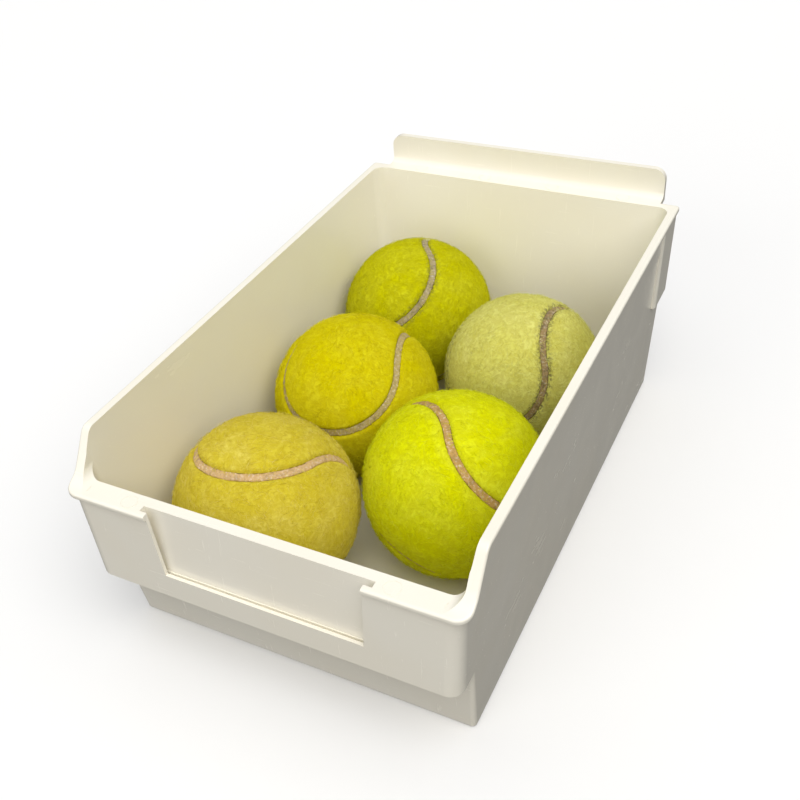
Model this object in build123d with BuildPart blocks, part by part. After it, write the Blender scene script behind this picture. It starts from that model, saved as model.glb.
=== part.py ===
from build123d import *
import os
from math import acos, cos, degrees, radians, sin, tan

# An open display bin for slatwall, one white injection moulding that hangs by a hook at its back,
# with five tennis balls lying loose in it.
# Millimetres, +Z up, +X across the bin, the front lip faces -Y.
# The origin is on the base plane, in the middle of the whole object's length and width.

os.makedirs("parts", exist_ok=True)

# ---------------------------------------------------------------- overall sizes of the bin
WIDTH = 140.0            # across the rim
LENGTH = 230.5           # front lip to the back of the hook
RIM_HEIGHT = 83.6        # base to the top of the side rims
LIP_HEIGHT = 68.6        # base to the top of the front lip
HOOK_HEIGHT = 96.0       # base to the top of the hook tab
OVERRUN = 1.0            # how far a cutting shape runs past the face that it opens
UPRIGHT_LIMIT = 0.1      # the most Z in the normal of a face that counts as upright

# ---------------------------------------------------------------- rim, lip and slope
BAND = 2.0               # thickness of the rim, the lip and the ledge
RIM_BACK = 223.7         # back of the rim, which lies against the slatwall
LIP_CORNER = 5.0         # plan radius of the lip's two front corners
BACK_CORNER = 1.6        # plan radius of the rim's two back corners
SLOPE_TOP = 15.6         # where the rim starts to slope down to the lip
SLOPE_FOOT = 5.6         # where the slope's straight line would meet the lip
SLOPE_FOOT_RADIUS = 9.0  # hollow bend where the slope runs out into the lip
SLOPE_TOP_RADIUS = 4.0   # bend where it leaves the rim
FOOT_FILLET = 4.0        # between the flat lip and the foot of each side rim
FOOT_HALF = 66.2         # half width of the flat lip between those feet
LIP_SPACE_BACK = 14.0    # the flat lip and its feet end inside the hollow
BEAD_ROUND = 0.8         # upper edge of the rim and lip
BEAD_UNDER_ROUND = 0.4   # their lower edge

# ---------------------------------------------------------------- tapered box
WALL_TOP = RIM_HEIGHT - BAND
OUTER_HALF_BASE = 65.0   # outer walls: half width at the base and under the rim
OUTER_HALF_TOP = 68.3
OUTER_FRONT_BASE = 14.9  # front and back wall, behind the lip's front edge, at the same two heights
OUTER_FRONT_TOP = 5.6
OUTER_BACK_BASE = 214.8
OUTER_BACK_TOP = 221.9
BODY_CORNER = 1.6        # plan radius of the box's outer corners
BASE_ROUND = 1.0         # edge round the base
FLOOR = 2.5              # thickness of the floor
INNER_TOP = RIM_HEIGHT + OVERRUN
INNER_HALF_BASE = 63.0   # the hollow, at the floor and at INNER_TOP
INNER_HALF_TOP = 66.75
INNER_FRONT_BASE = 16.9
INNER_FRONT_TOP = 6.2
INNER_BACK_BASE = 212.9
INNER_BACK_TOP = 219.9
INNER_CORNER = 5.0       # plan radius of the inner corners
FLOOR_FILLET = 3.5       # between the floor and the walls, inside
STEP_PROUD = 0.45        # thicker band round the top of the side walls
STEP_HEIGHT = 71.5       # where that band starts

# ---------------------------------------------------------------- front skirt and label pocket
SKIRT_BOTTOM = 32.4      # height of the skirt's lower edge
SKIRT_FRONT = 0.9        # front of the skirt, behind the lip's front edge
SKIRT_CORNER = 5.0       # plan radius of its front corners
SKIRT_WALL = 1.9         # its thickness
SKIRT_DEPTH = 17.0       # how far back the skirt's side cheeks reach into the box
SKIRT_TOP = 76.0         # well above the lip, then cut back along the slope
SKIRT_CORE_TOP = 66.4    # top of the hollow under the lip
LABEL_BOTTOM = 42.4      # height of the ledge that a label stands on
LABEL_HALF_BOTTOM = 36.0  # half width of the opening, at the ledge and at the lip
LABEL_HALF_TOP = 37.7
LABEL_FACE_BOTTOM = 3.1  # depth of the pocket's face behind the lip's front edge
LABEL_FACE_TOP = 4.5
LABEL_LIP = 2.1          # thickness of the lips that hold the label
LABEL_LIP_REACH = 2.8    # how far the grooves behind those lips run past the opening
LABEL_SLOT_DEPTH = 1.3   # groove in the ledge that takes the label's bottom edge
LABEL_SLOT_WIDTH = 0.8
LABEL_BACKING = 1.9      # wall behind the pocket

# ---------------------------------------------------------------- back skirt and hook
BACK_SKIRT_BOTTOM = 45.0  # height of the skirt's lower edge
BACK_SKIRT_FRONT = 203.0
BACK_SKIRT_HALF_BOTTOM = 68.5
BACK_SKIRT_HALF_TOP = 69.6
BACK_SKIRT_CORNER = 4.0  # plan radius of its back corners
BACK_SKIRT_FRONT_ROUND = 1.2
BACK_CORE_HALF = 61.0    # hollow between the box and the back skirt
BACK_CORE_TOP = 70.0
HOOK_HALF = 62.0         # half width of the ledge and the tab
HOOK_FACE = 228.0        # face of the tab that pulls against the slat
HOOK_CORNER = 5.0        # radius of the tab's two top corners
HOOK_FILLET = 2.4        # between the ledge and the tab

# ---------------------------------------------------------------- moulding marks
PIN_RADIUS = 2.8
PIN_LINE = 0.28          # width of the ring that an ejector pin leaves
PIN_DEPTH = 0.15
LIP_PIN_X = (-64.6, -45.8, 45.8, 64.6)
LIP_PIN_Y = 4.1
LEDGE_PINS = 4
LEDGE_PIN_PITCH = 30.8
LEDGE_PIN_Y = 223.6
GATE_RADIUS = 5.0        # dimple under the floor round the gate
GATE_DEPTH = 0.6
GATE_STUB_RADIUS = 1.1   # rest of the sprue, cut off inside the dimple
GATE_STUB = 0.4

# ---------------------------------------------------------------- tennis balls
BALL_RADIUS = 33.0       # nominal, over the nap
CORE_RADIUS = 29.4       # outside of the rubber core
CORE_WALL = 3.3
GLUE = 0.05              # glue line between the layers of a ball
SEAM_WIDTH = 2.8
SEAM_SINK = 1.1          # the rubber seam lies below the top of the felt
SEAM_TILT = radians(10)  # how far the axes of the seam's four arcs stand off the equator
SEAM_CONE = acos(-sin(SEAM_TILT) ** 2) / 2  # angle between each arc and its axis
SEAM_SWEEP = degrees(2 * acos(-tan(SEAM_TILT) / tan(SEAM_CONE)))  # turn of each arc about its axis
REST_GAP = 0.3           # felt held clear of the floor by its nap
FREE_FORM = 1.00001      # a stretch too small to measure, which makes a sphere a free-form surface

# name, x, distance behind the lip, radius, turn of the ball about its own X, Y and Z (degrees)
BALLS = (
    ("ball_1", -27.2, 47.4, 33.1, (66.4, -18.4, -87.6)),
    ("ball_2", 30.4, 82.4, 33.6, (110.1, 43.2, 40.7)),
    ("ball_3", -28.0, 117.0, 32.7, (115.0, 8.9, 88.9)),
    ("ball_4", -31.4, 182.8, 32.4, (96.8, 29.6, 120.4)),
    ("ball_5", 27.9, 156.4, 31.8, (-42.6, -10.3, -15.2)),
)


def from_lip(distance):
    """Model y of a point that lies this far behind the lip's front edge."""
    return distance - LENGTH / 2


def between(low, high, low_z, high_z, z):
    """Value at height z on the straight line from low at low_z to high at high_z."""
    return low + (high - low) * (z - low_z) / (high_z - low_z)


def outer_half(z):
    """Half width of the box's outer walls at height z."""
    return between(OUTER_HALF_BASE, OUTER_HALF_TOP, 0, WALL_TOP, z)


def plan_rectangle(half, front, back):
    """Rectangle of this half width, from front to back behind the lip, in the current sketch."""
    with Locations((0, from_lip((front + back) / 2))):
        Rectangle(2 * half, back - front)


def round_front(radius):
    """Round the two front corners of the current sketch."""
    fillet(vertices().group_by(Axis.Y)[0], radius)


def round_back(radius):
    """Round the two back corners of the current sketch."""
    fillet(vertices().group_by(Axis.Y)[-1], radius)


# ================================================================ rim, slope and lip in one band
def rim_line(drop):
    """Side view of the top edge, lowered by drop, from the lip's front to the hook's back."""
    lip = LIP_HEIGHT - drop
    rim = RIM_HEIGHT - drop
    FilletPolyline(
        (from_lip(-OVERRUN), lip),
        (from_lip(SLOPE_FOOT), lip),
        (from_lip(SLOPE_TOP), rim),
        (from_lip(LENGTH + OVERRUN), rim),
        radius=(SLOPE_FOOT_RADIUS + drop / 2, SLOPE_TOP_RADIUS + drop / 2),
    )


with BuildPart() as rim_band:
    with BuildSketch(Plane.YZ):
        with BuildLine():
            rim_line(0)
            rim_line(BAND)
            Line((from_lip(-OVERRUN), LIP_HEIGHT), (from_lip(-OVERRUN), LIP_HEIGHT - BAND))
            Line((from_lip(LENGTH + OVERRUN), RIM_HEIGHT), (from_lip(LENGTH + OVERRUN), RIM_HEIGHT - BAND))
        make_face()
    extrude(amount=WIDTH, both=True)
    with BuildSketch():
        plan_rectangle(WIDTH / 2, 0, RIM_BACK)
        round_front(LIP_CORNER)
        round_back(BACK_CORNER)
    extrude(amount=HOOK_HEIGHT, mode=Mode.INTERSECT)
    for facing, radius in ((1, BEAD_ROUND), (-1, BEAD_UNDER_ROUND)):
        sides = faces().filter_by(lambda face: abs(face.normal_at().Z) < UPRIGHT_LIMIT)
        flats = faces().filter_by(lambda face: face.normal_at().Z * facing > UPRIGHT_LIMIT)
        fillet(flats.edges() & sides.edges(), radius)

# ================================================================ hollow inside of the box
with BuildPart() as cavity:
    with BuildSketch(Plane.XY.offset(FLOOR)):
        plan_rectangle(INNER_HALF_BASE, INNER_FRONT_BASE, INNER_BACK_BASE)
        fillet(vertices(), INNER_CORNER)
    with BuildSketch(Plane.XY.offset(INNER_TOP)):
        plan_rectangle(INNER_HALF_TOP, INNER_FRONT_TOP, INNER_BACK_TOP)
        fillet(vertices(), INNER_CORNER)
    loft()
    fillet(edges().group_by(Axis.Z)[0], FLOOR_FILLET)

# space over the lip, which leaves it flat between the feet of the two side rims
with BuildPart() as lip_space:
    with BuildSketch(Plane.XZ.offset(-from_lip(LIP_SPACE_BACK))):
        with Locations((0, LIP_HEIGHT)):
            Rectangle(2 * FOOT_HALF, HOOK_HEIGHT, align=(Align.CENTER, Align.MIN))
        fillet(vertices().group_by(Axis.Y)[0], FOOT_FILLET)
    extrude(amount=LIP_SPACE_BACK + OVERRUN)

# ================================================================ front skirt
with BuildPart() as front_skirt:
    for height in (SKIRT_BOTTOM, SKIRT_TOP):
        with BuildSketch(Plane.XY.offset(height)):
            plan_rectangle(outer_half(height), SKIRT_FRONT, SKIRT_DEPTH)
            round_front(SKIRT_CORNER)
    loft()
    # cored out from below, so that every wall is about as thick as the box's
    for height in (SKIRT_BOTTOM, SKIRT_CORE_TOP):
        with BuildSketch(Plane.XY.offset(height)):
            plan_rectangle(outer_half(height) - SKIRT_WALL, SKIRT_FRONT + SKIRT_WALL, SKIRT_DEPTH + OVERRUN)
            round_front(SKIRT_CORNER - SKIRT_WALL)
    loft(mode=Mode.SUBTRACT)
    # wall behind the label pocket
    backing_half = LABEL_HALF_TOP + LABEL_LIP_REACH + LABEL_BACKING
    backing_bottom = LABEL_BOTTOM - LABEL_BACKING
    for height, face_depth in ((backing_bottom, LABEL_FACE_BOTTOM), (LIP_HEIGHT, LABEL_FACE_TOP)):
        with BuildSketch(Plane.XY.offset(height)):
            plan_rectangle(backing_half, SKIRT_FRONT + SKIRT_WALL / 2, face_depth + LABEL_BACKING)
    loft()

# ================================================================ back skirt
with BuildPart() as back_skirt:
    for height, half in (
        (BACK_SKIRT_BOTTOM, BACK_SKIRT_HALF_BOTTOM),
        (WALL_TOP + BAND / 2, BACK_SKIRT_HALF_TOP),
    ):
        with BuildSketch(Plane.XY.offset(height)):
            plan_rectangle(half, BACK_SKIRT_FRONT, RIM_BACK)
            round_front(BACK_SKIRT_FRONT_ROUND)
            round_back(BACK_SKIRT_CORNER)
    loft()
    fillet(edges().group_by(Axis.Z)[0], BACK_SKIRT_FRONT_ROUND)
    with BuildSketch(Plane.XY.offset(BACK_SKIRT_BOTTOM)):
        plan_rectangle(BACK_CORE_HALF, BACK_SKIRT_FRONT + BACK_SKIRT_CORNER, RIM_BACK - SKIRT_WALL)
    extrude(amount=BACK_CORE_TOP - BACK_SKIRT_BOTTOM, mode=Mode.SUBTRACT)

# ================================================================ label pocket in the front skirt
with BuildPart() as label_pocket:
    # opening between the two retaining lips
    pocket_top = LIP_HEIGHT + OVERRUN
    for height, half, depth in (
        (LABEL_BOTTOM, LABEL_HALF_BOTTOM, LABEL_FACE_BOTTOM),
        (pocket_top, LABEL_HALF_TOP, LABEL_FACE_TOP),
    ):
        with BuildSketch(Plane.XY.offset(height)):
            plan_rectangle(half, -OVERRUN, depth)
    loft()
    # grooves behind the retaining lips
    for height, half, depth in (
        (LABEL_BOTTOM, LABEL_HALF_BOTTOM, LABEL_FACE_BOTTOM),
        (pocket_top, LABEL_HALF_TOP, LABEL_FACE_TOP),
    ):
        with BuildSketch(Plane.XY.offset(height)):
            plan_rectangle(half + LABEL_LIP_REACH, LABEL_LIP, depth)
    loft()
    # slot in the bottom ledge for the label's lower edge
    with BuildSketch(Plane.XY.offset(LABEL_BOTTOM)):
        plan_rectangle(LABEL_HALF_BOTTOM + LABEL_LIP_REACH, LABEL_LIP, LABEL_LIP + LABEL_SLOT_WIDTH)
    extrude(amount=-LABEL_SLOT_DEPTH)

# ================================================================ the whole moulding
with BuildPart() as bin_body:
    # tapered outer walls
    with BuildSketch():
        plan_rectangle(OUTER_HALF_BASE, OUTER_FRONT_BASE, OUTER_BACK_BASE)
        fillet(vertices(), BODY_CORNER)
    with BuildSketch(Plane.XY.offset(WALL_TOP + BAND / 2)):
        plan_rectangle(outer_half(WALL_TOP + BAND / 2), OUTER_FRONT_TOP, OUTER_BACK_TOP)
        fillet(vertices(), BODY_CORNER)
    loft()
    fillet(edges().group_by(Axis.Z)[0], BASE_ROUND)
    add(front_skirt.part)
    add(back_skirt.part)
    # thicker band round the top of the side walls
    for height in (STEP_HEIGHT, WALL_TOP + BAND / 2):
        with BuildSketch(Plane.XY.offset(height)):
            plan_rectangle(outer_half(height) + STEP_PROUD, OUTER_FRONT_TOP, OUTER_BACK_TOP)
    loft()
    # everything above the middle of the rim band goes, which leaves the front low
    with BuildSketch(Plane.YZ):
        with BuildLine():
            rim_line(BAND / 2)
            Polyline(
                (from_lip(-OVERRUN), LIP_HEIGHT - BAND / 2),
                (from_lip(-OVERRUN), HOOK_HEIGHT),
                (from_lip(LENGTH + OVERRUN), HOOK_HEIGHT),
                (from_lip(LENGTH + OVERRUN), RIM_HEIGHT - BAND / 2),
            )
        make_face()
    extrude(amount=WIDTH, both=True, mode=Mode.SUBTRACT)
    add(rim_band.part)
    add(lip_space.part, mode=Mode.SUBTRACT)
    # ledge behind the rim, and the hook tab along its back edge
    with BuildSketch(Plane.XY.offset(RIM_HEIGHT - BAND)):
        plan_rectangle(HOOK_HALF, RIM_BACK - BAND, LENGTH)
    extrude(amount=BAND)
    with BuildSketch(Plane.XZ.offset(-from_lip(LENGTH))):
        with Locations((0, (RIM_HEIGHT - BAND + HOOK_HEIGHT) / 2)):
            Rectangle(2 * HOOK_HALF, HOOK_HEIGHT - RIM_HEIGHT + BAND)
        fillet(vertices().group_by(Axis.Y)[-1], HOOK_CORNER)
    extrude(amount=LENGTH - HOOK_FACE)
    ledge_line = edges().filter_by(Axis.X).sort_by_distance((0, from_lip(HOOK_FACE), RIM_HEIGHT))
    fillet(ledge_line[0], HOOK_FILLET)
    add(cavity.part, mode=Mode.SUBTRACT)
    add(label_pocket.part, mode=Mode.SUBTRACT)
    # rings left by the ejector pins on the lip and on the ledge
    with BuildSketch(Plane.XY.offset(LIP_HEIGHT)):
        with Locations([(x, from_lip(LIP_PIN_Y)) for x in LIP_PIN_X]):
            Circle(PIN_RADIUS)
            Circle(PIN_RADIUS - PIN_LINE, mode=Mode.SUBTRACT)
    extrude(amount=-PIN_DEPTH, mode=Mode.SUBTRACT)
    with BuildSketch(Plane.XY.offset(RIM_HEIGHT)):
        with Locations((0, from_lip(LEDGE_PIN_Y))):
            with GridLocations(LEDGE_PIN_PITCH, 1, LEDGE_PINS, 1):
                Circle(PIN_RADIUS)
                Circle(PIN_RADIUS - PIN_LINE, mode=Mode.SUBTRACT)
    extrude(amount=-PIN_DEPTH, mode=Mode.SUBTRACT)
    # gate mark under the floor
    with BuildSketch():
        Circle(GATE_RADIUS)
        Circle(GATE_STUB_RADIUS, mode=Mode.SUBTRACT)
    extrude(amount=GATE_DEPTH, mode=Mode.SUBTRACT)
    with BuildSketch():
        Circle(GATE_STUB_RADIUS)
    extrude(amount=GATE_DEPTH - GATE_STUB, mode=Mode.SUBTRACT)

bin_body.part.label = "bin_body"
export_step(bin_body.part, "parts/bin_body.step")


# ================================================================ tennis balls
def make_ring(width, low_radius, high_radius):
    """Closed band of this width along the seam, between two radii of a ball centred on the origin.

    Its four arcs lie on four equal cones that touch each other in turn, so the seam has no corner.
    """
    half_angle = width / BALL_RADIUS / 2
    flanks = [Vector(cos(angle), sin(angle)) for angle in (SEAM_CONE - half_angle, SEAM_CONE + half_angle)]
    with BuildPart() as ring:
        for turn, side in ((0, 1), (90, -1), (180, 1), (270, -1)):
            equator = Vector(1, 0, 0).rotate(Axis.Z, turn)
            pole = Vector(0, 0, side)
            axis = equator * cos(SEAM_TILT) + pole * sin(SEAM_TILT)
            over_pole = pole * cos(SEAM_TILT) - equator * sin(SEAM_TILT)
            start = over_pole.rotate(Axis((0, 0, 0), axis), -SEAM_SWEEP / 2)
            with BuildSketch(Plane((0, 0, 0), x_dir=axis, z_dir=axis.cross(start))):
                with BuildLine():
                    for radius in (low_radius, high_radius):
                        Line(flanks[0] * radius, flanks[1] * radius)
                    for flank in flanks:
                        Line(flank * low_radius, flank * high_radius)
                make_face()
            revolve(axis=Axis((0, 0, 0), axis), revolution_arc=SEAM_SWEEP)
    return ring.part


def make_core_half(side):
    """Half of the hollow rubber core, above (side 1) or below (side -1) its glued joint."""
    with BuildPart() as half:
        with BuildSketch(Plane.XZ):
            with BuildLine():
                for radius in (CORE_RADIUS - CORE_WALL, CORE_RADIUS):
                    CenterArc((0, 0), radius, 0, side * 90)
                Line((CORE_RADIUS - CORE_WALL, 0), (CORE_RADIUS, 0))
                Line((0, side * (CORE_RADIUS - CORE_WALL)), (0, side * CORE_RADIUS))
            make_face()
        revolve(axis=Axis.Z)
    return half.part


def make_felt_panels(radius):
    """The two felt panels that the seam leaves of a spherical shell, each like a wrapped dumb-bell."""
    with BuildPart() as felt:
        Sphere(radius)
        Sphere(CORE_RADIUS + GLUE, mode=Mode.SUBTRACT)
        scale(by=(1, 1, FREE_FORM))
        groove = make_ring(SEAM_WIDTH + 2 * GLUE, CORE_RADIUS - OVERRUN, radius + OVERRUN)
        add(groove, mode=Mode.SUBTRACT)
    panels = felt.part.solids().sort_by(lambda panel: panel.bounding_box().size.X)
    if len(panels) != 2:
        raise ValueError("the seam has to leave two panels")
    return panels


def write_piece(solid, name, place):
    """Put one finished piece of a ball in its place, label it and write it."""
    with BuildPart() as piece:
        add(solid.moved(place))
    piece.part.label = name
    export_step(piece.part, f"parts/{name}.step")


for ball, x, y, radius, turn in BALLS:
    place = Location((x, from_lip(y), FLOOR + REST_GAP + radius), turn)
    write_piece(make_core_half(-1), f"{ball}_core_lower", place)
    write_piece(make_core_half(1), f"{ball}_core_upper", place)
    write_piece(make_ring(SEAM_WIDTH, CORE_RADIUS + GLUE, radius - SEAM_SINK), f"{ball}_seam", place)
    panel_a, panel_b = make_felt_panels(radius)
    write_piece(panel_a, f"{ball}_felt_a", place)
    write_piece(panel_b, f"{ball}_felt_b", place)
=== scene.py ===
from math import cos, pi, radians, sin

import bpy
import numpy as np
from mathutils import Matrix, Vector, noise
from mathutils.bvhtree import BVHTree


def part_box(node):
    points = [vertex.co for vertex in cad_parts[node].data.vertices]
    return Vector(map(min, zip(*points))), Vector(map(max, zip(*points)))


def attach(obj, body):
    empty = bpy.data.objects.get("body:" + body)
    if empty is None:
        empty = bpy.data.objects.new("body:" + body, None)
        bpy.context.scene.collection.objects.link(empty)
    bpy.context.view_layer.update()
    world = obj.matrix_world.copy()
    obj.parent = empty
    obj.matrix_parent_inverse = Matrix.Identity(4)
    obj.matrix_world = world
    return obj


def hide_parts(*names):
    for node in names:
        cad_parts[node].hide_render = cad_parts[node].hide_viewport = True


# The looks of an open slatwall display bin with five worn tennis balls lying in it.
# Metres, +Z up, +X across the bin, the front lip faces -Y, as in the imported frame.

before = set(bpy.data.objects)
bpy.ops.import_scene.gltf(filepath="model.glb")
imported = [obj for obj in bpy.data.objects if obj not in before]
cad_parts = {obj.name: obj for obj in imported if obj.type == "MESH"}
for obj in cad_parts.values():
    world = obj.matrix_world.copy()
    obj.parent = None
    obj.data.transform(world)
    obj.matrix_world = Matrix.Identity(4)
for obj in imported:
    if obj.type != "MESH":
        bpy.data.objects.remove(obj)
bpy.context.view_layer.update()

MM = 0.001
WHITE = (1.0, 1.0, 1.0)

# ---------------------------------------------------------------- camera
CAMERA_AT = Vector((0.1416, -0.2751, 0.2782))
CAMERA_AZIMUTH = radians(29.70)
CAMERA_ELEVATION = radians(37.95)
CAMERA_ROLL = radians(-5.14)
CAMERA_LENS = 45.34      # mm on a 36 mm sensor
CAMERA_SHIFT = (0.0202, 0.0162)

# ---------------------------------------------------------------- light
LIGHT_ANGLE = radians(60)
SKY_STRENGTH = 1.0
SKY_LOW_END = 0.30                    # height of a direction, 0 level and 1 overhead, at the dark end
SKY_TOP_END = 0.95                    # and at the bright end
SKY_LOW = (0.10, 0.10, 0.10, 1.0)     # near the horizon
SKY_TOP = (0.92, 0.94, 0.97, 1.0)     # overhead: one wide, soft box
KEY_TOWARDS = (-0.54, 0.45, -1.0)
KEY_ENERGY = 1.88
FILL_TOWARDS = (0.30, 1.0, -0.12)
FILL_ENERGY = 1.25
KEY_COLOUR = (1.0, 0.97, 0.92)
FILL_COLOUR = (1.0, 0.98, 0.95)
FLOOR_HALF = 6.0                      # m
FLOOR_GREY = (0.90, 0.90, 0.90, 1.0)

# ---------------------------------------------------------------- balls
VOXEL = 0.62 * MM        # grid of the remeshed felt
SEAM_VOXEL = 0.42 * MM
NAP_DEPTH = 0.30 * MM    # the cloth under the loose nap lies this far below the ball's full radius
SHOULDER = 1.3 * MM      # width of the felt's rounded edge beside the seam
SHOULDER_DROP = 0.75 * MM
FIBRES = 13000           # lying fibres on each ball
FIBRE_LENGTH = (1.4 * MM, 3.8 * MM)
FIBRE_WIDTH = 0.10 * MM
STRAYS = 400             # loose hairs on each ball
STRAY_WIDTH = 0.085 * MM


# ================================================================ small helpers
class Shader:
    """A material's node tree, built with short calls."""

    def __init__(self, name):
        self.material = bpy.data.materials.new(name)
        self.material.use_nodes = True
        self.tree = self.material.node_tree
        self.tree.nodes.clear()
        self.surface = self.node("ShaderNodeBsdfPrincipled")
        output = self.node("ShaderNodeOutputMaterial")
        self.link(self.surface.outputs["BSDF"], output.inputs["Surface"])
        self.place = self.node("ShaderNodeTexCoord").outputs["Object"]

    def node(self, kind, **settings):
        made = self.tree.nodes.new(kind)
        for key, value in settings.items():
            setattr(made, key, value)
        return made

    def link(self, source, target):
        self.tree.links.new(source, target)

    def set(self, **values):
        """Plain values on the surface shader's own sockets."""
        for key, value in values.items():
            self.surface.inputs[key.replace("_", " ")].default_value = value

    def stretched(self, factors):
        """The object's coordinates, stretched along its axes."""
        mapping = self.node("ShaderNodeMapping")
        mapping.inputs["Scale"].default_value = factors
        self.link(self.place, mapping.inputs["Vector"])
        return mapping.outputs["Vector"]

    def noise(self, scale, detail=3.0, roughness=0.55, distortion=0.0, where=None):
        made = self.node("ShaderNodeTexNoise")
        self.link(where or self.place, made.inputs["Vector"])
        for key, value in (
            ("Scale", scale), ("Detail", detail), ("Roughness", roughness), ("Distortion", distortion),
        ):
            made.inputs[key].default_value = value
        return made.outputs["Fac"]

    def span(self, value, low, high, to_low=0.0, to_high=1.0):
        """value remapped from low..high to to_low..to_high, with smooth ends."""
        made = self.node("ShaderNodeMapRange", interpolation_type="SMOOTHSTEP")
        self.link(value, made.inputs["Value"])
        for key, number in (("From Min", low), ("From Max", high), ("To Min", to_low), ("To Max", to_high)):
            made.inputs[key].default_value = number
        return made.outputs["Result"]

    def maths(self, operation, first, second):
        made = self.node("ShaderNodeMath", operation=operation)
        for socket, value in zip(made.inputs, (first, second)):
            if isinstance(value, (int, float)):
                socket.default_value = value
            else:
                self.link(value, socket)
        return made.outputs["Value"]

    def mix(self, share, first, second):
        """Colour mix of two colours or sockets."""
        made = self.node("ShaderNodeMix", data_type="RGBA")
        self.link(share, made.inputs["Factor"])
        for socket, value in ((made.inputs[6], first), (made.inputs[7], second)):
            if isinstance(value, tuple):
                socket.default_value = (*value[:3], 1.0)
            else:
                self.link(value, socket)
        return made.outputs[2]

    def bump(self, height, distance, strength=1.0, under=None):
        made = self.node("ShaderNodeBump")
        made.inputs["Distance"].default_value = distance
        made.inputs["Strength"].default_value = strength
        self.link(height, made.inputs["Height"])
        if under is not None:
            self.link(under, made.inputs["Normal"])
        return made.outputs["Normal"]

    def attribute(self, name):
        return self.node("ShaderNodeAttribute", attribute_name=name).outputs["Fac"]

    def colour(self, socket):
        self.link(socket, self.surface.inputs["Base Color"])

    def roughness(self, socket):
        self.link(socket, self.surface.inputs["Roughness"])

    def normal(self, socket):
        self.link(socket, self.surface.inputs["Normal"])


def linear(red, green, blue):
    """Scene colour of an sRGB colour given in 0..255."""
    channels = []
    for value in (red, green, blue):
        share = value / 255
        channels.append(share / 12.92 if share <= 0.04045 else ((share + 0.055) / 1.055) ** 2.4)
    return tuple(channels)


def blend(first, second, share):
    return tuple(a + (b - a) * share for a, b in zip(first, second))


def points_of(mesh):
    flat = np.empty(len(mesh.vertices) * 3, np.float32)
    mesh.vertices.foreach_get("co", flat)
    return flat.reshape(-1, 3).astype(float)


def set_points(mesh, places):
    mesh.vertices.foreach_set("co", places.astype(np.float32).ravel())
    mesh.update()


def unit(vectors):
    return vectors / np.maximum(np.linalg.norm(vectors, axis=-1, keepdims=True), 1e-12)


def smooth_step(values, low, high):
    share = np.clip((values - low) / (high - low), 0, 1)
    return share * share * (3 - 2 * share)


def lumps(places, size, seed):
    """Smooth noise, about -1 to 1, with features of this size."""
    shift = Vector((seed * 7.31, seed * 3.77, seed * 5.13))
    return np.array([noise.noise(Vector(p) / size + shift) for p in places.tolist()])


def remeshed_copy(node, name, voxel):
    """A new object with a CAD node's mesh on an even grid of quads."""
    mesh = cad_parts[node].data.copy()
    mesh.name = name
    made = bpy.data.objects.new(name, mesh)
    bpy.context.scene.collection.objects.link(made)
    grid = made.modifiers.new("grid", "REMESH")
    grid.mode = "VOXEL"
    grid.voxel_size = voxel
    grid.use_smooth_shade = True
    evaluated = made.evaluated_get(bpy.context.evaluated_depsgraph_get())
    made.modifiers.clear()
    made.data = bpy.data.meshes.new_from_object(evaluated)
    made.data.name = name
    made.data.materials.clear()
    return made


# ================================================================ camera, light and floor
def make_camera():
    data = bpy.data.cameras.new("camera")
    data.lens = CAMERA_LENS
    data.shift_x, data.shift_y = CAMERA_SHIFT
    data.clip_start = 0.01
    camera = bpy.data.objects.new("camera", data)
    bpy.context.scene.collection.objects.link(camera)
    forward = Vector((
        -sin(CAMERA_AZIMUTH) * cos(CAMERA_ELEVATION),
        cos(CAMERA_AZIMUTH) * cos(CAMERA_ELEVATION),
        -sin(CAMERA_ELEVATION),
    ))
    turn = forward.to_track_quat("-Z", "Y").to_matrix() @ Matrix.Rotation(CAMERA_ROLL, 3, "Z")
    camera.rotation_euler = turn.to_euler()
    camera.location = CAMERA_AT
    bpy.context.scene.camera = camera


def make_light(name, towards, energy, colour):
    """A very soft sun that shines along this direction."""
    data = bpy.data.lights.new(name, "SUN")
    data.energy = energy
    data.color = colour
    data.angle = LIGHT_ANGLE
    lamp = bpy.data.objects.new(name, data)
    bpy.context.scene.collection.objects.link(lamp)
    lamp.rotation_euler = Vector(towards).to_track_quat("-Z", "Y").to_euler()


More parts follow.
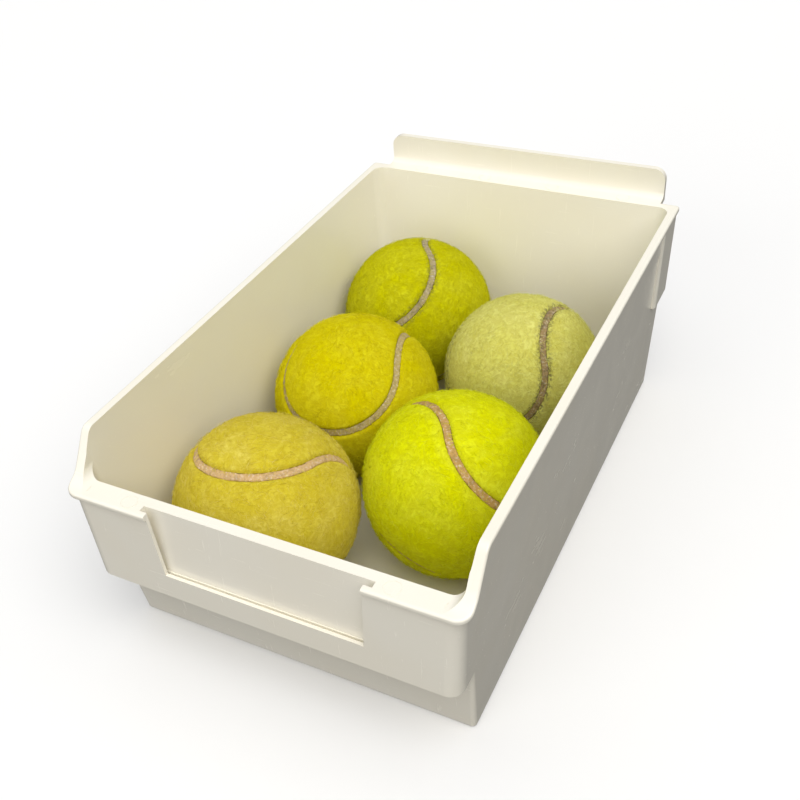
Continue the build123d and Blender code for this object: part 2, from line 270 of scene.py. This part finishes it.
def make_studio():
    scene = bpy.context.scene
    scene.view_settings.view_transform = "Standard"
    scene.world = bpy.data.worlds.new("studio")
    scene.world.use_nodes = True
    tree = scene.world.node_tree
    background = tree.nodes["Background"]
    background.inputs["Strength"].default_value = SKY_STRENGTH
    direction = tree.nodes.new("ShaderNodeTexCoord").outputs["Generated"]
    parts = tree.nodes.new("ShaderNodeSeparateXYZ")
    tree.links.new(direction, parts.inputs["Vector"])
    sky = tree.nodes.new("ShaderNodeValToRGB")
    ramp = sky.color_ramp
    for element, end, colour in zip(ramp.elements, (SKY_LOW_END, SKY_TOP_END), (SKY_LOW, SKY_TOP)):
        element.position = end
        element.color = colour
    tree.links.new(parts.outputs["Z"], sky.inputs["Fac"])
    tree.links.new(sky.outputs["Color"], background.inputs["Color"])
    make_light("key", KEY_TOWARDS, KEY_ENERGY, KEY_COLOUR)
    make_light("fill", FILL_TOWARDS, FILL_ENERGY, FILL_COLOUR)

    floor_mesh = bpy.data.meshes.new("floor")
    half = FLOOR_HALF
    corners = [(-half, -half, 0), (half, -half, 0), (half, half, 0), (-half, half, 0)]
    floor_mesh.from_pydata(corners, [], [(0, 1, 2, 3)])
    floor = bpy.data.objects.new("floor", floor_mesh)
    scene.collection.objects.link(floor)
    paper = Shader("floor_paper")
    paper.set(Base_Color=FLOOR_GREY, Roughness=0.9, Specular_IOR_Level=0.1)
    floor_mesh.materials.append(paper.material)
    # The bin in the photo gets little light from below, and its right outer wall is dim. So the
    # floor shows and takes shadows, but it throws no light back and isn't seen in the gloss.
    floor.visible_diffuse = False
    floor.visible_glossy = False


# ================================================================ bin
def make_bin_plastic():
    """Ivory injection-moulded polystyrene: glossy, faintly uneven, finely scratched."""
    plastic = Shader("bin_plastic_look")
    plastic.set(Specular_IOR_Level=0.5, IOR=1.5)
    clean = linear(247, 243, 230)
    aged = linear(246, 241, 226)
    cloud = plastic.noise(22, detail=2)
    plastic.colour(plastic.mix(plastic.span(cloud, 0.35, 0.7), clean, aged))
    along = plastic.noise(1.0, detail=4, roughness=0.7, where=plastic.stretched((900, 25, 60)))
    across = plastic.noise(1.0, detail=4, roughness=0.7, where=plastic.stretched((40, 900, 900)))
    scratches = plastic.maths(
        "MAXIMUM", plastic.span(along, 0.62, 0.75), plastic.span(across, 0.64, 0.76)
    )
    smears = plastic.noise(60, detail=5, distortion=0.6)
    dull = plastic.maths("MULTIPLY", scratches, 0.12)
    rough = plastic.maths("ADD", plastic.span(smears, 0.3, 0.75, 0.22, 0.27), dull)
    plastic.roughness(rough)
    sink = plastic.bump(plastic.noise(35, detail=1), 0.12 * MM, 0.4)
    mould = plastic.bump(plastic.noise(1500, detail=2), 0.006 * MM, 0.5, under=sink)
    plastic.normal(plastic.bump(scratches, 0.004 * MM, 0.3, under=mould))
    return plastic.material


# ================================================================ tennis balls
BALL_LOOKS = {
    # sRGB colours of the felt: body, bleached nap, shade between the fibres; of the seam; share of dirt
    "ball_1": dict(
        body=(216, 200, 58), pale=(230, 216, 120), deep=(190, 168, 24),
        seam=(206, 172, 122), dirt=0.10,
    ),
    "ball_2": dict(
        body=(222, 226, 0), pale=(228, 232, 70), deep=(194, 190, 0),
        seam=(186, 148, 84), dirt=0.08,
    ),
    "ball_3": dict(
        body=(212, 202, 0), pale=(224, 216, 56), deep=(188, 170, 0),
        seam=(182, 162, 108), dirt=0.12,
    ),
    "ball_4": dict(
        body=(200, 198, 0), pale=(214, 214, 56), deep=(166, 158, 0),
        seam=(168, 152, 116), dirt=0.55,
    ),
    "ball_5": dict(
        body=(214, 212, 108), pale=(230, 230, 152), deep=(182, 172, 70),
        seam=(150, 126, 84), dirt=0.8,
    ),
}
DIRT = (92, 84, 62)


def make_felt(name, look):
    """Matted wool cloth, seen between and under the loose fibres."""
    felt = Shader(f"{name}_felt_look")
    felt.set(
        Specular_IOR_Level=0.02, Sheen_Weight=0.22, Sheen_Roughness=0.5,
        Sheen_Tint=(*linear(*look["pale"]), 1.0),
    )
    body, pale, deep, dirt = (linear(*c) for c in (look["body"], look["pale"], look["deep"], DIRT))
    patches = felt.noise(70, detail=3, distortion=0.8)
    clumps = felt.noise(420, detail=4, roughness=0.65, distortion=1.2)
    specks = felt.noise(2600, detail=2)
    colour = felt.mix(felt.span(patches, 0.35, 0.75), body, blend(body, pale, 0.5))
    # Darker in the clumps: painted shade between the fibres, in the deep colour.
    colour = felt.mix(felt.span(clumps, 0.42, 0.68, 0.55, 0.0), colour, deep)
    colour = felt.mix(felt.span(specks, 0.6, 0.75, 0.0, 0.5), colour, pale)
    grime = felt.noise(900, detail=4)
    edge = felt.span(felt.attribute("seam_distance"), 0.2, 2.6, 1.0, 0.0)
    soiled = felt.maths("MULTIPLY", felt.maths("MULTIPLY", edge, look["dirt"]), felt.span(grime, 0.42, 0.62))
    felt.colour(felt.mix(soiled, colour, dirt))
    felt.roughness(felt.span(clumps, 0.3, 0.7, 0.85, 1.0))
    coarse = felt.bump(clumps, 0.28 * MM, 0.7)
    felt.normal(felt.bump(felt.noise(1700, detail=3, distortion=1.5), 0.2 * MM, 0.8, under=coarse))
    return felt.material


def make_fibre(name, tone, colour, pale):
    """Single wool and nylon fibres of one tone of a ball's nap."""
    fibre = Shader(f"{name}_fibre_{tone}")
    fibre.set(
        Base_Color=(*colour, 1.0), Roughness=0.85, Specular_IOR_Level=0.06,
        Sheen_Weight=0.2, Sheen_Roughness=0.5, Sheen_Tint=(*pale, 1.0),
    )
    return fibre.material


def make_cement(name, look):
    """The seam: cured rubber cement, grainy and soiled."""
    cement = Shader(f"{name}_seam_look")
    cement.set(Specular_IOR_Level=0.3)
    base = linear(*look["seam"])
    grains = cement.noise(1100, detail=3, roughness=0.7)
    soil = cement.noise(420, detail=4)
    light = blend(base, WHITE, 0.35)
    colour = cement.mix(cement.span(grains, 0.5, 0.72), base, light)
    colour = cement.mix(cement.span(grains, 0.46, 0.3, 0.0, 0.6), colour, blend(base, linear(*DIRT), 0.6))
    amount = 0.25 + 0.5 * look["dirt"]
    cement.colour(cement.mix(cement.span(soil, 0.5, 0.68, 0.0, amount), colour, linear(*DIRT)))
    cement.roughness(cement.span(grains, 0.3, 0.7, 0.65, 0.9))
    cement.normal(cement.bump(grains, 0.25 * MM, 0.8))
    return cement.material


def make_core_rubber():
    rubber = Shader("core_rubber_look")
    grain = rubber.noise(700, detail=4)
    rubber.colour(rubber.mix(grain, (0.018, 0.018, 0.019), (0.05, 0.05, 0.052)))
    rubber.roughness(rubber.span(grain, 0.3, 0.7, 0.6, 0.8))
    rubber.normal(rubber.bump(grain, 0.1 * MM, 0.5))
    return rubber.material


def mesh_tree(*objects):
    """A search tree over the surfaces of these objects."""
    places, faces = [], []
    for thing in objects:
        start = len(places)
        places.extend(v.co.copy() for v in thing.data.vertices)
        faces.extend([start + v for v in p.vertices] for p in thing.data.polygons)
    return BVHTree.FromPolygons(places, faces)


def distances(tree, places):
    return np.array([tree.find_nearest(Vector(p))[3] for p in places.tolist()])


def tubes(paths, radii, slots, name):
    """A mesh of closed three-sided fibres along paths (n, k, 3), pointed at both ends."""
    count, steps, _ = paths.shape
    ahead = unit(np.gradient(paths, axis=1))
    side = unit(np.cross(ahead, unit(paths)))
    top = np.cross(side, ahead)
    rings = []
    for corner in range(3):
        angle = 2 * pi * corner / 3 + pi / 2
        rings.append(paths + radii[:, :, None] * (side * cos(angle) + top * sin(angle)))
    middle = np.stack(rings, axis=2)[:, 1:-1].reshape(count, -1, 3)
    corners = np.concatenate([paths[:, :1], middle, paths[:, -1:]], axis=1)
    last = corners.shape[1] - 1
    faces = []
    for corner in range(3):
        after = (corner + 1) % 3
        faces.append((0, 1 + after, 1 + corner))
        faces.append((last, last - 3 + corner, last - 3 + after))
        for ring in range(steps - 3):
            low = 1 + 3 * ring
            faces.append((low + corner, low + after, low + 3 + after))
            faces.append((low + corner, low + 3 + after, low + 3 + corner))
    starts = np.arange(count)[:, None, None] * (last + 1)
    triangles = (starts + np.array(faces)[None]).reshape(-1, 3)
    mesh = bpy.data.meshes.new(name)
    mesh.from_pydata(corners.reshape(-1, 3).tolist(), [], triangles.tolist())
    mesh.polygons.foreach_set("material_index", np.repeat(slots, len(faces)).astype(np.int32))
    mesh.polygons.foreach_set("use_smooth", np.ones(len(triangles), bool))
    return mesh


class Ball:
    """One tennis ball: its place comes from the boxes of its two felt panels."""

    def __init__(self, name, seed):
        self.name = name
        self.look = BALL_LOOKS[name]
        self.seed = seed
        self.random = np.random.default_rng(seed)
        boxes = [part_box(f"{name}_felt_{panel}") for panel in "ab"]
        low = np.min([np.array(box[0]) for box in boxes], axis=0)
        high = np.max([np.array(box[1]) for box in boxes], axis=0)
        self.centre = (low + high) / 2
        self.radius = float((high - low).max() / 2)
        self.seam_tree = mesh_tree(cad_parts[f"{name}_seam"])

    def from_seam(self, directions):
        """Distance from the seam's band, along these directions from the ball's centre."""
        places = points_of(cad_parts[f"{self.name}_seam"].data) - self.centre
        outer = np.linalg.norm(places, axis=1).max()
        return distances(self.seam_tree, self.centre + directions * outer)

    def make_panel(self, panel, material):
        node = f"{self.name}_felt_{panel}"
        piece = remeshed_copy(node, f"{node}_cloth", VOXEL)
        places = points_of(piece.data) - self.centre
        heights = np.linalg.norm(places, axis=1)
        directions = unit(places)
        gap = self.from_seam(directions)
        outer = smooth_step(heights, self.radius - 1.4 * MM, self.radius - 0.5 * MM)
        rounding = SHOULDER_DROP * (1 - smooth_step(gap, 0, SHOULDER)) ** 1.5
        swell = 0.12 * MM * lumps(places, 5 * MM, self.seed)
        swell += 0.06 * MM * lumps(places, 1.7 * MM, self.seed + 9)
        heights = heights - outer * (NAP_DEPTH + rounding - swell)
        set_points(piece.data, self.centre + directions * heights[:, None])
        mark = piece.data.attributes.new("seam_distance", "FLOAT", "POINT")
        mark.data.foreach_set("value", (gap / MM).astype(np.float32))
        piece.data.materials.append(material)
        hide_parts(node)
        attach(piece, self.name)

    def make_seam(self, material):
        node = f"{self.name}_seam"
        piece = remeshed_copy(node, f"{node}_cement", SEAM_VOXEL)
        places = points_of(piece.data)
        normals = np.array([v.normal[:] for v in piece.data.vertices])
        swell = 0.16 * MM * lumps(places, 1.1 * MM, self.seed)
        swell += 0.18 * MM * lumps(places, 3 * MM, self.seed + 4)
        set_points(piece.data, places + normals * swell[:, None])
        piece.data.materials.append(material)
        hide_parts(node)
        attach(piece, self.name)

    def flow(self, directions):
        """Which way the nap lies: a smooth field of tangents with swirls."""
        broad, fine = (
            np.stack([lumps(directions, size, self.seed + start + axis) for axis in range(3)], axis=1)
            for size, start in ((0.55, 20), (0.16, 30))
        )
        return unit(np.cross(directions, broad + 0.35 * fine))

    def walk(self, directions, tangents, lengths, heights, curls):
        """Paths (n, k, 3) over the ball, with these heights over its full radius at each step."""
        steps = heights.shape[1]
        stride = lengths / (steps - 1) / self.radius
        here, ahead, paths = directions, tangents, []
        for step in range(steps):
            paths.append(here * (self.radius + heights[:, step:step + 1]))
            here = unit(here + ahead * stride[:, None])
            turned = ahead + np.cross(here, ahead) * curls[:, None]
            ahead = unit(turned - here * (turned * here).sum(1, keepdims=True))
        return self.centre + np.stack(paths, axis=1)

    def make_nap(self, materials):
        random = self.random
        directions = unit(random.normal(size=(int(FIBRES * 1.25), 3)))
        gap = self.from_seam(directions)
        directions = directions[gap > random.uniform(0.0, 0.5 * MM, len(gap))][:FIBRES]
        count = len(directions)
        flow = self.flow(directions)
        turn = random.normal(0, radians(30), count)
        tangents = flow * np.cos(turn)[:, None] + np.cross(directions, flow) * np.sin(turn)[:, None]
        lengths = random.uniform(*FIBRE_LENGTH, count)
        crest = random.gamma(2.0, 0.08 * MM, count)
        heights = np.stack([
            np.full(count, -0.5 * MM), crest - 0.15 * MM, crest - 0.1 * MM, np.full(count, -0.42 * MM),
        ], axis=1)
        loose = random.random(count) < 0.25
        heights[loose, 3] = crest[loose] + random.uniform(-0.1 * MM, 0.5 * MM, loose.sum())
        paths = self.walk(directions, tangents, lengths, heights, random.normal(0, 0.28, count))
        radii = FIBRE_WIDTH / 2 * random.uniform(0.6, 1.3, (count, 1)) * np.array([[0.6, 1.0, 1.0, 0.5]])
        clumps = lumps(directions, 0.09, self.seed + 50) + 0.6 * lumps(directions, 0.35, self.seed + 51)
        tone = clumps * 0.35 + random.normal(0, 0.55, count)
        slots = np.digitize(tone, (-0.55, 0.15, 0.75))
        lying = tubes(paths, radii, slots, f"{self.name}_nap")

        strays = unit(random.normal(size=(STRAYS, 3)))
        tangents = unit(np.cross(strays, random.normal(size=(STRAYS, 3))))
        steps = np.linspace(0, 1, 8)
        rise = random.gamma(2.2, 0.30 * MM, (STRAYS, 1))
        rise = rise * np.sin(steps * pi * random.uniform(0.5, 1.0, (STRAYS, 1)))
        lengths = random.uniform(2.5 * MM, 8 * MM, STRAYS)
        paths = self.walk(strays, tangents, lengths, rise - 0.25 * MM, random.normal(0, 0.35, STRAYS))
        radii = np.full((STRAYS, 8), STRAY_WIDTH / 2) * (1 - 0.5 * steps)
        loose_mesh = tubes(paths, radii, random.integers(1, 4, STRAYS), f"{self.name}_strays")

        for mesh, name in ((lying, "nap"), (loose_mesh, "strays")):
            piece = bpy.data.objects.new(f"{self.name}_{name}", mesh)
            bpy.context.scene.collection.objects.link(piece)
            # At this thickness the fibres' own shadows read as dark worms. The cloth casts the shadow.
            piece.visible_shadow = False
            for material in materials:
                mesh.materials.append(material)
            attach(piece, self.name)

    def make(self):
        look = self.look
        body, pale, deep = (linear(*look[key]) for key in ("body", "pale", "deep"))
        felt = make_felt(self.name, look)
        tones = (
            ("deep", blend(deep, body, 0.1)), ("body", body), ("light", blend(body, pale, 0.4)),
            ("pale", pale),
        )
        fibres = [make_fibre(self.name, tone, colour, pale) for tone, colour in tones]
        for panel in "ab":
            self.make_panel(panel, felt)
        self.make_seam(make_cement(self.name, look))
        self.make_nap(fibres)


# ================================================================ the scene
make_camera()
make_studio()
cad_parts["bin_body"].material_slots[0].material = make_bin_plastic()
rubber = make_core_rubber()
for number, name in enumerate(BALL_LOOKS):
    for half in ("lower", "upper"):
        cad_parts[f"{name}_core_{half}"].material_slots[0].material = rubber
    Ball(name, seed=number + 1).make()
